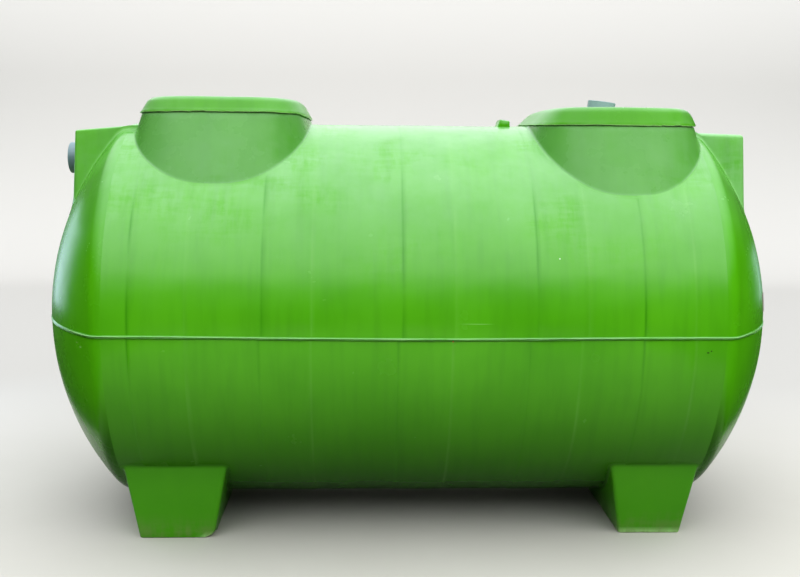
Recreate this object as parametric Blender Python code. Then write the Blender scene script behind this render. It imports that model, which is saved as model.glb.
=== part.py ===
"""Horizontal glass-fibre septic tank on two cross saddles.

Metres, +Z up. X runs along the tank with the inlet end at -X, Y runs across it with the front at -Y,
and the floor is at Z = 0. The origin lies on the floor, under the middle of the whole object.
"""

import math

import bmesh
import bpy
from mathutils import Matrix, Vector

# Tank body
TANK_RADIUS = 0.660
WALL = 0.008
FLOOR_GAP = 0.050
AXIS_HEIGHT = FLOOR_GAP + TANK_RADIUS
BARREL_HALF = 0.960
DISH_DEPTH = 0.300
KNUCKLE_RADIUS = 0.060

# Mid-height joint between the upper and the lower half
FLANGE_THICK = 0.004
UPPER_FLANGE_REACH = 0.007
LOWER_FLANGE_REACH = 0.005

# Laminated bands round the barrel: start and end along the tank
BAND_THICK = 0.0025
UPPER_BANDS = ((-0.882, -0.705), (-0.476, -0.320), (-0.044, 0.122), (0.371, 0.533), (0.703, 0.864))
LOWER_BANDS = ((-0.883, -0.704), (-0.486, -0.323), (-0.059, 0.113), (0.347, 0.512), (0.701, 0.867))
BAND_TO_FLANGE = 0.012
BAND_TO_SADDLE = 0.002

# Oval manways: place, rim above the crown, half sizes at the rim and turn about the tank's axis.
# The ovals are superellipses, squarer at the rim than where they meet the barrel.
NECKS = {
    "inlet": {"x": -0.645, "rim_up": 0.026, "half_x": 0.282, "half_y": 0.372, "roll": 0.0},
    "outlet": {"x": 0.693, "rim_up": 0.003, "half_x": 0.279, "half_y": 0.390, "roll": math.radians(1.4)},
}
NECK_DRAFT_X = 0.34
NECK_DRAFT_Y = 0.45
NECK_CUT_UP = 0.360
OVAL_POWER = 3.4
OVAL_SOFTENING = 3.0
HATCH_HALF_X = 0.245
HATCH_HALF_Y = 0.350

# Lids
LID_OVERHANG = 0.004
LID_LIP = 0.004
LID_SEAT = 0.016
LID_WALL = 0.006
LID_HOLLOW_TAPER = 0.022
LID_HEIGHT = 0.0525
LID_DRAFT = math.radians(30)
LID_EDGE = 0.030

# Pipe boxes, drafted on their end and their sides
BOX_HALF_Y = 0.200
BOX_END_X = 1.144
BOX_DRAFT = 0.057
BOX_TOP_UP = 0.629
BOX_TOP_RISE = 0.014
BOX_WALL = 0.006
BOX_FOOT_UP = 0.330
BOX_UNDER_NECK = 0.030

# Pipes
PIPE_RADIUS = 0.055
PIPE_WALL = 0.0032
PIPE_UP = 0.536
PIPE_INSIDE_X = 0.990
INLET_PIPE_OUT = 0.068
OUTLET_PIPE_OUT = 0.060
VENT_RADIUS = 0.049
VENT_X = 0.688
VENT_UP = 0.036
VENT_DOWN = 0.030
VENT_LEAN = math.radians(7)

# Lifting lug
LUG_X = 0.339
LUG_LENGTH = 0.036
LUG_WIDTH = 0.090
LUG_HEIGHT = 0.024
LUG_SLOPE = 0.018
LUG_TOP_FALL = 0.005

# Saddles: half widths along the tank, half lengths across it
SADDLE_WALL = 0.008
SADDLE_CUT_UP = 0.400
SADDLES = {
    "inlet_saddle": {"x": -0.779, "top_x": 0.169, "foot_x": 0.122, "top_y": 0.472, "foot_y": 0.458},
    "outlet_saddle": {"x": 0.8055, "top_x": 0.148, "foot_x": 0.104, "top_y": 0.474, "foot_y": 0.432},
}

# Clearances and facet counts
GAP = 0.0003
SHELL_EDGE = FLANGE_THICK + 1.5 * GAP
CUTTER_SPARE = 0.100
ANGLE_SPARE = 0.001
SHARP_FROM = math.radians(32)
ROUND_STEPS = 64
OVAL_STEPS = 48
PIPE_STEPS = 32
DISH_STEPS = 9
KNUCKLE_STEPS = 3
LID_EDGE_STEPS = 3
NECK_STEPS = 3

GELCOAT_GREEN = (0.075, 0.305, 0.012)
GELCOAT_ROUGHNESS = 0.22
PIPE_GREY = (0.21, 0.33, 0.34)
PIPE_ROUGHNESS = 0.40


def clear_scene():
    for item in list(bpy.data.objects):
        bpy.data.objects.remove(item, do_unlink=True)


def material(name, colour, roughness):
    made = bpy.data.materials.new(name)
    made.use_nodes = True
    shader = made.node_tree.nodes["Principled BSDF"]
    shader.inputs["Base Color"].default_value = (*colour, 1.0)
    shader.inputs["Roughness"].default_value = roughness
    shader.inputs["Metallic"].default_value = 0.0
    return made


def add_object(name, mesh, kind="gelcoat"):
    """Put a finished bmesh in the scene as one named object with a material of its own."""
    bmesh.ops.recalc_face_normals(mesh, faces=mesh.faces)
    data = bpy.data.meshes.new(name)
    mesh.to_mesh(data)
    mesh.free()
    data.shade_smooth()
    data.set_sharp_from_angle(angle=SHARP_FROM)
    thing = bpy.data.objects.new(name, data)
    bpy.context.collection.objects.link(thing)
    if kind == "gelcoat":
        data.materials.append(material(name + "_gelcoat", GELCOAT_GREEN, GELCOAT_ROUGHNESS))
    elif kind == "pipe":
        data.materials.append(material(name + "_upvc", PIPE_GREY, PIPE_ROUGHNESS))
    return thing


def add_cutter(name, mesh):
    cutter = add_object(name, mesh, kind="cutter")
    cutter.hide_render = True
    cutter.display_type = "WIRE"
    return cutter


def cut(thing, cutter, operation="DIFFERENCE"):
    step = thing.modifiers.new(operation.lower() + "_" + cutter.name, "BOOLEAN")
    step.operation = operation
    step.solver = "EXACT"
    step.object = cutter


def ring_of(mesh, points):
    return [mesh.verts.new(point) for point in points]


def skin(mesh, rings, closed=True, split=False):
    """Join rings of equal length, and the last ring to the first where closed.

    Split halves every quad along the same diagonal, so that a bent wall and its cutter agree.
    """
    pairs = list(zip(rings, rings[1:] + rings[:1])) if closed else list(zip(rings, rings[1:]))
    for low, high in pairs:
        count = len(low)
        for index in range(count):
            after = (index + 1) % count
            if split:
                mesh.faces.new((low[index], low[after], high[after]))
                mesh.faces.new((low[index], high[after], high[index]))
            else:
                mesh.faces.new((low[index], low[after], high[after], high[index]))


def dish_centre():
    """Radius of the dish and where its centre lies, measured out from the end of the barrel."""
    inner = TANK_RADIUS - KNUCKLE_RADIUS
    radius = (inner**2 - KNUCKLE_RADIUS**2 + DISH_DEPTH**2) / (2 * (DISH_DEPTH - KNUCKLE_RADIUS))
    return radius, DISH_DEPTH - radius


def dish_profile(inset=0.0):
    """Points (distance past the barrel, radius) from the barrel's edge to the pole of the dish."""
    radius, centre = dish_centre()
    ring = TANK_RADIUS - KNUCKLE_RADIUS
    join = math.atan2(ring, -centre)
    points = []
    for step in range(KNUCKLE_STEPS):
        angle = math.pi / 2 + (join - math.pi / 2) * step / KNUCKLE_STEPS
        reach = KNUCKLE_RADIUS - inset
        points.append((reach * math.cos(angle), ring + reach * math.sin(angle)))
    for step in range(DISH_STEPS + 1):
        angle = join * (1 - step / DISH_STEPS)
        reach = radius - inset
        points.append((centre + reach * math.cos(angle), reach * math.sin(angle)))
    points[-1] = (points[-1][0], 0.0)
    return points


def half_angles(half):
    """Angles of the half circle from the front joint to the back one, above or below the axis."""
    steps = ROUND_STEPS // 2
    tilt = math.asin(SHELL_EDGE / TANK_RADIUS)
    start, end = math.pi - tilt, tilt
    angles = [start + (end - start) * step / steps for step in range(steps + 1)]
    return [half * angle for angle in angles]


def round_angles():
    """Angles of the full circle, on the same facets as the two halves."""
    return half_angles(1) + half_angles(-1)[::-1]


def tank_point(x, radius, angle, drop=None):
    z = AXIS_HEIGHT + radius * math.sin(angle)
    if drop is not None:
        z = AXIS_HEIGHT + drop
    return Vector((x, radius * math.cos(angle), z))


def arc_section(x, outer, inner, half):
    """Closed outline of a half-round wall at x, with both edges flat at the joint's height."""
    angles = half_angles(half)
    last = len(angles) - 1
    level = half * SHELL_EDGE
    outside = [tank_point(x, outer, angle, level if step in (0, last) else None)
               for step, angle in enumerate(angles)]
    inside = [tank_point(x, inner, angle, level if step in (0, last) else None)
              for step, angle in enumerate(angles)]
    return outside + inside[::-1]


def half_barrel(name, half):
    mesh = bmesh.new()
    rings = []
    for x in (-BARREL_HALF + GAP / 2, BARREL_HALF - GAP / 2):
        rings.append(ring_of(mesh, arc_section(x, TANK_RADIUS, TANK_RADIUS - WALL, half)))
    skin(mesh, rings, closed=False)
    for ring in (rings[0], rings[-1]):
        count = len(ring)
        for index in range(count // 2 - 1):
            mesh.faces.new((ring[index], ring[index + 1], ring[count - 2 - index], ring[count - 1 - index]))
    return add_object(name, mesh)


def half_end(name, side, half):
    """Half of a dished end: a knuckled dish of even thickness, closed flat at the joint."""
    mesh = bmesh.new()
    start = BARREL_HALF + GAP / 2
    angles = half_angles(half)
    last = len(angles) - 1
    shells = []
    for inset in (0.0, WALL):
        rows = []
        for past, radius in dish_profile(inset)[:-1]:
            row = []
            for step, angle in enumerate(angles):
                drop = half * SHELL_EDGE if step in (0, last) else None
                row.append(mesh.verts.new(tank_point(side * (start + past), radius, angle, drop)))
            rows.append(row)
        pole_past = dish_profile(inset)[-1][0]
        pole = mesh.verts.new(Vector((side * (start + pole_past), 0.0, AXIS_HEIGHT + half * SHELL_EDGE)))
        shells.append((rows, pole))
    for rows, pole in shells:
        for low, high in zip(rows, rows[1:]):
            for index in range(last):
                mesh.faces.new((low[index], low[index + 1], high[index + 1], high[index]))
        for index in range(last):
            mesh.faces.new((rows[-1][index], rows[-1][index + 1], pole))
    outer_rows, outer_pole = shells[0]
    inner_rows, inner_pole = shells[1]
    for index in range(last):
        mesh.faces.new((outer_rows[0][index], outer_rows[0][index + 1],
                        inner_rows[0][index + 1], inner_rows[0][index]))
    for column in (0, last):
        outer_edge = [row[column] for row in outer_rows] + [outer_pole]
        inner_edge = [row[column] for row in inner_rows] + [inner_pole]
        for index in range(len(outer_edge) - 1):
            mesh.faces.new((outer_edge[index], outer_edge[index + 1],
                            inner_edge[index + 1], inner_edge[index]))
    return add_object(name, mesh)


def joint_outline(grow):
    """Plan of the tank at mid height: the barrel's two sides and the two dished ends."""
    profile = dish_profile(-grow)
    quarter = [(BARREL_HALF + past, radius) for past, radius in profile]
    right = [(x, -y) for x, y in quarter] + [(x, y) for x, y in quarter[-2::-1]]
    left = [(-x, -y) for x, y in right]
    return right + left


def joint_flange(name, half, reach):
    mesh = bmesh.new()
    outer = joint_outline(reach)
    inner = joint_outline(-WALL)
    low = AXIS_HEIGHT + half * GAP / 2
    high = AXIS_HEIGHT + half * (FLANGE_THICK + GAP / 2)
    rings = [ring_of(mesh, [(x, y, z) for x, y in outline])
             for outline, z in ((outer, low), (outer, high), (inner, high), (inner, low))]
    skin(mesh, rings)
    return add_object(name, mesh)


def band(name, half, span, start, end):
    """A shallow laminated band on the barrel between two angles, given as fractions of the half turn."""
    mesh = bmesh.new()
    first, final = math.pi * (1 - start), math.pi * (1 - end)
    between = [angle for angle in half_angles(1) if final + ANGLE_SPARE < angle < first - ANGLE_SPARE]
    low, high = TANK_RADIUS + GAP, TANK_RADIUS + GAP + BAND_THICK
    corners = ((span[0], low), (span[1], low), (span[1], high), (span[0], high))
    rings = []
    for angle in [first] + between + [final]:
        rings.append(ring_of(mesh, [tank_point(x, radius, half * angle) for x, radius in corners]))
    skin(mesh, rings, closed=False)
    mesh.faces.new(rings[0])
    mesh.faces.new(rings[-1][::-1])
    return add_object(name, mesh)


def oval(half_x, half_y, power, x, z):
    """Rounded oval, flat in Z: an ellipse at power 2, squarer as the power grows."""
    points = []
    for step in range(OVAL_STEPS):
        angle = 2 * math.pi * step / OVAL_STEPS
        across, along = math.sin(angle), math.cos(angle)
        px = math.copysign(abs(along) ** (2 / power), along) * half_x
        py = math.copysign(abs(across) ** (2 / power), across) * half_y
        points.append(Vector((x + px, py, z)))
    return points


def rolled(thing, roll):
    """Turn a piece about the tank's own axis, so that it still sits on the round of the barrel."""
    axis = Vector((0.0, 0.0, AXIS_HEIGHT))
    turn = Matrix.Translation(axis) @ Matrix.Rotation(roll, 4, "X") @ Matrix.Translation(-axis)
    thing.data.transform(turn)
    return thing


def oval_solid(mesh, sections, x):
    """Closed solid through oval sections given as (half x, half y, power, z), capped at both ends."""
    rings = [ring_of(mesh, oval(half_x, half_y, power, x, z)) for half_x, half_y, power, z in sections]
    skin(mesh, rings, closed=False, split=True)
    mesh.faces.new(rings[0][::-1])
    mesh.faces.new(rings[-1])


def rim_height(size):
    return AXIS_HEIGHT + TANK_RADIUS + size["rim_up"]


def neck_section(size, z):
    """Half sizes and power of a neck's oval at a height: it widens and softens downwards."""
    depth = rim_height(size) - z
    return (size["half_x"] + NECK_DRAFT_X * depth,
            size["half_y"] + NECK_DRAFT_Y * depth,
            OVAL_POWER - OVAL_SOFTENING * depth)


def neck_levels(size):
    low, high = AXIS_HEIGHT + NECK_CUT_UP, rim_height(size)
    return [low + (high - low) * step / NECK_STEPS for step in range(NECK_STEPS + 1)]


def neck_clearance(name, size):
    """Cutter in the neck's outer form, grown by the gap, for what meets the neck."""
    mesh = bmesh.new()
    levels = neck_levels(size)
    sections = []
    for z in [levels[0] - CUTTER_SPARE] + levels + [levels[-1] + CUTTER_SPARE]:
        half_x, half_y, power = neck_section(size, z)
        sections.append((half_x + GAP, half_y + GAP, power, z))
    oval_solid(mesh, sections, size["x"])
    return rolled(add_cutter(name, mesh), size["roll"])


def tank_envelope(grow):
    """The whole body as a solid of revolution, grown by a clearance."""
    mesh = bmesh.new()
    start = BARREL_HALF + GAP / 2
    half = [(start + past, radius) for past, radius in dish_profile(-grow)[:-1]]
    stations = [(-x, radius) for x, radius in half[::-1]] + half
    rings = []
    for x, radius in stations:
        rings.append(ring_of(mesh, [tank_point(x, radius, angle) for angle in round_angles()]))
    skin(mesh, rings, closed=False)
    reach = start + dish_profile(-grow)[-1][0]
    for side, ring in ((-1, rings[0]), (1, rings[-1])):
        pole = mesh.verts.new((side * reach, 0.0, AXIS_HEIGHT))
        for index in range(len(ring)):
            mesh.faces.new((ring[index], ring[(index + 1) % len(ring)], pole))
    return mesh


def neck(name, size, tank_cutter):
    mesh = bmesh.new()
    levels = neck_levels(size)
    rings = []
    for inset, heights in ((0.0, levels), (WALL, levels[::-1])):
        for z in heights:
            half_x, half_y, power = neck_section(size, z)
            rings.append(ring_of(mesh, oval(half_x - inset, half_y - inset, power, size["x"], z)))
    skin(mesh, rings, split=True)
    cut(rolled(add_object(name, mesh), size["roll"]), tank_cutter)


def lid_profile(low):
    """Outside of a lid as (inset, z): a short upright lip, a drafted side and a rounded shoulder."""
    centre_z = low + LID_HEIGHT - LID_EDGE
    side_z = centre_z + LID_EDGE * math.sin(LID_DRAFT)
    side_inset = (side_z - low - LID_LIP) * math.tan(LID_DRAFT)
    centre_inset = side_inset + LID_EDGE * math.cos(LID_DRAFT)
    points = [(0.0, low), (0.0, low + LID_LIP)]
    for step in range(LID_EDGE_STEPS + 1):
        angle = LID_DRAFT + (math.pi / 2 - LID_DRAFT) * step / LID_EDGE_STEPS
        points.append((centre_inset - LID_EDGE * math.cos(angle), centre_z + LID_EDGE * math.sin(angle)))
    return points


def lid(name, size):
    """Moulded oval lid, hollow below. Its seat follows the roll of the neck, its top stays level."""
    mesh = bmesh.new()
    half_x, half_y = size["half_x"] + LID_OVERHANG, size["half_y"] + LID_OVERHANG
    low = rim_height(size) + GAP
    seat = LID_OVERHANG + LID_SEAT
    hollow = [(seat, low), (seat, low + LID_HEIGHT - LID_EDGE),
              (seat + LID_HOLLOW_TAPER, low + LID_HEIGHT - LID_WALL)]
    rings = []
    for inset, z in hollow[::-1] + lid_profile(low):
        points = oval(half_x - inset, half_y - inset, OVAL_POWER, size["x"], z)
        share = (z - low) / LID_HEIGHT
        for point in points:
            point.z -= point.y * math.tan(size["roll"]) * share
        rings.append(ring_of(mesh, points))
    skin(mesh, rings, closed=False)
    mesh.faces.new(rings[0])
    mesh.faces.new(rings[-1])
    return rolled(add_object(name, mesh), size["roll"])


def box_block(side, inset, inner_x):
    """Block for a pipe box: drafted end and sides, and a top that rises a little towards the manway."""
    mesh = bmesh.new()
    top_end = AXIS_HEIGHT + BOX_TOP_UP - inset
    low = AXIS_HEIGHT + BOX_FOOT_UP - 2 * inset
    spread = BOX_DRAFT * (top_end - low)
    end_x, half_y = BOX_END_X - inset, BOX_HALF_Y - inset
    profile = ((inner_x, low, half_y + spread), (end_x + spread, low, half_y + spread),
               (end_x, top_end, half_y), (inner_x, top_end + BOX_TOP_RISE, half_y - BOX_DRAFT * BOX_TOP_RISE))
    rings = [ring_of(mesh, [(side * x, turn * y, z) for x, z, y in profile]) for turn in (-1, 1)]
    skin(mesh, rings, closed=False)
    mesh.faces.new(rings[0])
    mesh.faces.new(rings[1][::-1])
    return mesh


def tube_mesh(radius, start, end, bore=None):
    """Round bar from start to end, or a tube where a bore radius is given."""
    mesh = bmesh.new()
    start, end = Vector(start), Vector(end)
    frame = (end - start).to_track_quat("Z", "Y").to_matrix()
    radii = ((radius, start), (radius, end)) if bore is None else (
        (radius, start), (radius, end), (bore, end), (bore, start))
    rings = []
    for size, centre in radii:
        points = []
        for step in range(PIPE_STEPS):
            angle = 2 * math.pi * step / PIPE_STEPS
            points.append(centre + frame @ Vector((size * math.cos(angle), size * math.sin(angle), 0.0)))
        rings.append(ring_of(mesh, points))
    skin(mesh, rings, closed=bore is not None)
    if bore is None:
        mesh.faces.new(rings[0][::-1])
        mesh.faces.new(rings[1])
    return mesh


def pipe_box(name, side, neck_outer_x, tank_cutter, neck_cutter, bore_cutter):
    made = add_object(name, box_block(side, 0.0, neck_outer_x - BOX_UNDER_NECK))
    hollow = add_cutter(name + "_hollow", box_block(side, BOX_WALL, neck_outer_x - 2 * BOX_UNDER_NECK))
    cut(made, hollow)
    cut(made, tank_cutter)
    cut(made, neck_cutter)
    cut(made, bore_cutter)
    return made


def saddle_block(size, inset, low, high):
    """Tapered block of a saddle between two heights, inset for its hollow."""
    mesh = bmesh.new()
    reach = AXIS_HEIGHT - math.sqrt(TANK_RADIUS**2 - size["top_y"]**2)
    rings = []
    for z in (low, high):
        share = z / reach
        half_x = size["foot_x"] + (size["top_x"] - size["foot_x"]) * share - inset
        half_y = size["foot_y"] + (size["top_y"] - size["foot_y"]) * share - inset
        corners = ((-half_x, -half_y), (half_x, -half_y), (half_x, half_y), (-half_x, half_y))
        rings.append(ring_of(mesh, [(size["x"] + x, y, z) for x, y in corners]))
    skin(mesh, rings, closed=False)
    mesh.faces.new(rings[0][::-1])
    mesh.faces.new(rings[1])
    return mesh


def saddle(name, size, tank_cutter):
    made = add_object(name, saddle_block(size, 0.0, 0.0, SADDLE_CUT_UP))
    hollow_mesh = saddle_block(size, SADDLE_WALL, SADDLE_WALL, SADDLE_CUT_UP + CUTTER_SPARE)
    hollow = add_cutter(name + "_hollow", hollow_mesh)
    cut(made, hollow)
    cut(made, tank_cutter)
    return made


def lifting_lug(name, tank_cutter):
    """Small laminated upstand on the crown, upright on the outlet side and sloped on the other."""
    mesh = bmesh.new()
    top = AXIS_HEIGHT + TANK_RADIUS + LUG_HEIGHT
    low = AXIS_HEIGHT + TANK_RADIUS - LUG_HEIGHT
    left, right = LUG_X - LUG_LENGTH / 2, LUG_X + LUG_LENGTH / 2
    corners = ((left - LUG_SLOPE, low), (right, low), (right, top - LUG_TOP_FALL), (left, top))
    rings = [ring_of(mesh, [(x, y, z) for x, z in corners]) for y in (-LUG_WIDTH / 2, LUG_WIDTH / 2)]
    skin(mesh, rings, closed=False)
    mesh.faces.new(rings[0])
    mesh.faces.new(rings[1][::-1])
    cut(add_object(name, mesh), tank_cutter)


def vent_ends(lid_top, down, up):
    """Two points on the leaning axis of the vent, below and above the lid's top."""
    axis = Vector((math.sin(VENT_LEAN), 0.0, math.cos(VENT_LEAN)))
    centre = Vector((VENT_X, 0.0, lid_top))
    return centre - axis * down, centre + axis * up


def vent_pipe(name, lid_top, roll):
    """Grey stub through the lid's top, leaning a little towards the outlet end."""
    low, high = vent_ends(lid_top, VENT_DOWN, VENT_UP)
    mesh = tube_mesh(VENT_RADIUS, low, high, bore=VENT_RADIUS - PIPE_WALL)
    return rolled(add_object(name, mesh, "pipe"), roll)


def stiffening_bands(inlet_clearance, outlet_clearance):
    """Five bands on each half; the outer two stop at a manway above and at a saddle below."""
    begin = BAND_TO_FLANGE / (math.pi * TANK_RADIUS)
    for number, span in enumerate(UPPER_BANDS, start=1):
        clearance = inlet_clearance if number < 3 else outlet_clearance
        name = "upper_band_" + str(number)
        if number in (1, 5):
            cut(band(name + "_front", 1, span, begin, 0.5), clearance)
            cut(band(name + "_back", 1, span, 0.5, 1 - begin), clearance)
        else:
            whole = band(name, 1, span, begin, 1 - begin)
            if number != 3:
                cut(whole, clearance)
    for number, span in enumerate(LOWER_BANDS, start=1):
        name = "lower_band_" + str(number)
        if number in (1, 5):
            size = SADDLES["inlet_saddle" if number == 1 else "outlet_saddle"]
            stop = math.acos((size["top_y"] + BAND_TO_SADDLE) / TANK_RADIUS) / math.pi
            band(name + "_front", -1, span, begin, stop)
            band(name + "_back", -1, span, 1 - stop, 1 - begin)
        else:
            band(name, -1, span, begin, 1 - begin)


def build():
    clear_scene()
    tank_cutter = add_cutter("tank_clearance", tank_envelope(GAP))
    upper = half_barrel("upper_barrel", 1)
    half_barrel("lower_barrel", -1)
    joint_flange("upper_flange", 1, UPPER_FLANGE_REACH)
    joint_flange("lower_flange", -1, LOWER_FLANGE_REACH)

    pipe_z = AXIS_HEIGHT + PIPE_UP
    clearances = []
    for place, side, out in (("inlet", -1, INLET_PIPE_OUT), ("outlet", 1, OUTLET_PIPE_OUT)):
        size = NECKS[place]
        clearance = neck_clearance(place + "_neck_clearance", size)
        clearances.append(clearance)
        mesh = bmesh.new()
        low, high = AXIS_HEIGHT + NECK_CUT_UP, AXIS_HEIGHT + TANK_RADIUS + CUTTER_SPARE
        oval_solid(mesh, [(HATCH_HALF_X, HATCH_HALF_Y, OVAL_POWER, z) for z in (low, high)], size["x"])
        cut(upper, rolled(add_cutter(place + "_hatch", mesh), size["roll"]))
        neck(place + "_neck", size, tank_cutter)
        lid(place + "_lid", size)

        start, end = (side * PIPE_INSIDE_X, 0.0, pipe_z), (side * (BOX_END_X + out), 0.0, pipe_z)
        add_object(place + "_pipe", tube_mesh(PIPE_RADIUS, start, end, bore=PIPE_RADIUS - PIPE_WALL), "pipe")
        inside, outside = PIPE_INSIDE_X - CUTTER_SPARE, BOX_END_X + CUTTER_SPARE
        start, end = (side * inside, 0.0, pipe_z), (side * outside, 0.0, pipe_z)
        bore = add_cutter(place + "_pipe_hole", tube_mesh(PIPE_RADIUS + 2 * GAP, start, end))
        cut(half_end(place + "_end_upper", side, 1), bore)
        half_end(place + "_end_lower", side, -1)
        neck_end = abs(size["x"]) + size["half_x"]
        pipe_box(place + "_box", side, neck_end, tank_cutter, clearance, bore)

    roll = NECKS["outlet"]["roll"]
    lid_top = rim_height(NECKS["outlet"]) + GAP + LID_HEIGHT
    vent_pipe("vent_pipe", lid_top, roll)
    low, high = vent_ends(lid_top, CUTTER_SPARE, CUTTER_SPARE)
    vent_hole = add_cutter("vent_hole", tube_mesh(VENT_RADIUS + 2 * GAP, low, high))
    cut(bpy.data.objects["outlet_lid"], rolled(vent_hole, roll))
    lifting_lug("lifting_lug", tank_cutter)

    for name, size in SADDLES.items():
        saddle(name, size, tank_cutter)

    stiffening_bands(*clearances)


build()
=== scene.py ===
from math import asin, atan2, copysign, cos, hypot, pi, radians, sin, sqrt, tan

import bmesh
import bpy
from mathutils import Matrix, Vector, noise


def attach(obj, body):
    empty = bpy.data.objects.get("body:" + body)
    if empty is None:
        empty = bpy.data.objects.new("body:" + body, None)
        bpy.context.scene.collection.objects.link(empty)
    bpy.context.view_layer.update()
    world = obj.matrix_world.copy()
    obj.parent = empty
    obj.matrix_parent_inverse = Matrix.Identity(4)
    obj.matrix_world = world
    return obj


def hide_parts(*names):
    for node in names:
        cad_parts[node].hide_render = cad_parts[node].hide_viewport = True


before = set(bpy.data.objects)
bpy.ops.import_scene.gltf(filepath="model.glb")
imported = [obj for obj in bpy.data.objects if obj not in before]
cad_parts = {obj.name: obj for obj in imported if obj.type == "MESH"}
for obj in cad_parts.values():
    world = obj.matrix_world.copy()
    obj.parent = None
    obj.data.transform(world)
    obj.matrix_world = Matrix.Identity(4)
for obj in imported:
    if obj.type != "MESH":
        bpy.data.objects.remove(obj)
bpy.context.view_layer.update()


# Camera. It stands at chest height in front of the tank, a little towards the inlet end, and looks slightly
# down. Its place and lens come from the tank's outline, joint line and band lines in the photograph.
camera_data = bpy.data.cameras.new("camera")
camera_data.sensor_width = 36.0
camera_data.lens = 45.97
camera = bpy.data.objects.new("camera", camera_data)
bpy.context.scene.collection.objects.link(camera)
bpy.context.scene.camera = camera
camera_place = Vector((-0.1667, -3.734, 1.2532))
camera_yaw, camera_pitch, camera_roll = -0.0365, -0.1267, 0.0085
ahead = Vector((-sin(camera_yaw) * cos(camera_pitch),
                cos(camera_yaw) * cos(camera_pitch),
                sin(camera_pitch)))
level = ahead.cross(Vector((0.0, 0.0, 1.0))).normalized()
upward = level.cross(ahead)
right = level * cos(camera_roll) + upward * sin(camera_roll)
upright = upward * cos(camera_roll) - level * sin(camera_roll)
turned = Matrix((right, upright, -ahead)).transposed().to_4x4()
camera.matrix_world = Matrix.Translation(camera_place) @ turned


# Floor and backdrop. One pale sheet of painted board lies under the tank and sweeps up behind it, so that no
# corner shows. It is cut to the camera's view, so that the gloss of the tank's ends mirrors dark, not board.
def linear(hex_colour):
    """Turns an sRGB hex colour into the linear values that a shader takes."""
    shares = [int(hex_colour[place:place + 2], 16) / 255 for place in (1, 3, 5)]
    return tuple(s / 12.92 if s <= 0.04045 else ((s + 0.055) / 1.055) ** 2.4 for s in shares) + (1.0,)


def set_up(node, settings):
    """Sets a node's attributes and inputs, or links an input to a socket or a node. A node gives its first
    output, or its colour if it is a mix."""
    for key, value in settings.items():
        if isinstance(value, bpy.types.Node):
            value = value.outputs[2 if value.bl_idname == "ShaderNodeMix" else 0]
        if isinstance(value, bpy.types.NodeSocket):
            node.id_data.links.new(value, node.inputs[key])
        elif isinstance(key, str) and hasattr(node, key):
            setattr(node, key, value)
        else:
            node.inputs[key].default_value = value
    return node


def add_node(tree, kind, settings):
    """Adds a node with its settings and links. A mix is of the colours at inputs 6 and 7, by a share at 0."""
    node = tree.nodes.new("ShaderNode" + kind)
    if kind == "Mix":
        node.data_type = "RGBA"
    return set_up(node, settings)


def start_material(name):
    """A material with its shader and the coordinates in metres that its patterns are laid out in."""
    material = bpy.data.materials.new(name)
    material.use_nodes = True
    tree = material.node_tree
    place = add_node(tree, "TexCoord", {}).outputs["Object"]
    return material, tree, tree.nodes["Principled BSDF"], place


sharp_from = radians(40)


def add_object(name, mesh, *materials):
    """Puts a finished mesh in the scene, smooth except at its sharp edges."""
    bmesh.ops.recalc_face_normals(mesh, faces=mesh.faces)
    data = bpy.data.meshes.new(name)
    mesh.to_mesh(data)
    mesh.free()
    data.shade_smooth()
    data.set_sharp_from_angle(angle=sharp_from)
    for material in materials:
        data.materials.append(material)
    thing = bpy.data.objects.new(name, data)
    bpy.context.scene.collection.objects.link(thing)
    return thing


def add_face(mesh, verts, slot=0):
    """A face over those vertices that differ, unless they are fewer than three."""
    corners = list(dict.fromkeys(verts))
    if len(corners) > 2:
        mesh.faces.new(corners).material_index = slot


def join_rings(mesh, rings, closed_rings=True, closed_rows=False, capped=False, slot=0):
    """Joins rows of vertices with faces, each row to the next, and fills the first and last if capped."""
    pairs = list(zip(rings, rings[1:]))
    if closed_rows:
        pairs.append((rings[-1], rings[0]))
    for low, high in pairs:
        count = len(low)
        for index in range(count if closed_rings else count - 1):
            after = (index + 1) % count
            add_face(mesh, (low[index], low[after], high[after], high[index]), slot)
    if capped:
        mesh.faces.new(rings[0])
        mesh.faces.new(rings[-1])


painted_board, tree, shader, place = start_material("painted_board")
clouds = add_node(tree, "TexNoise", {"Scale": 1.6, "Detail": 5.0, "Roughness": 0.6, "Vector": place})
board_colour = add_node(tree, "Mix", {0: clouds, 6: linear("#B8B3AA"), 7: linear("#C1BCB4")})
along_floor = add_node(tree, "SeparateXYZ", {0: place}).outputs["Y"]
at_back = add_node(tree, "MapRange", {"From Min": -0.5, "From Max": 1.8, "Value": along_floor})
toned = add_node(tree, "Mix", {0: at_back, 6: board_colour, 7: linear("#B0ACA6")})
set_up(shader, {"Base Color": toned, "Roughness": 0.85, "Specular IOR Level": 0.25})

floor_front, floor_back, floor_least_width = -7.0, 6.5, 1.5
sweep_radius, sweep_steps, wall_height = 2.2, 12, 3.5
view_left, view_right, view_margin = 0.350, 0.4345, 0.10


def sheet_row(y, z):
    """The sheet's two edges at a place, just outside the camera's view."""
    away = y - camera_place.y
    left_edge = max(floor_least_width, view_left * away - camera_place.x + view_margin)
    right_edge = max(floor_least_width, view_right * away + camera_place.x + view_margin)
    return [(-left_edge, y, z), (right_edge, y, z)]


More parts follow.
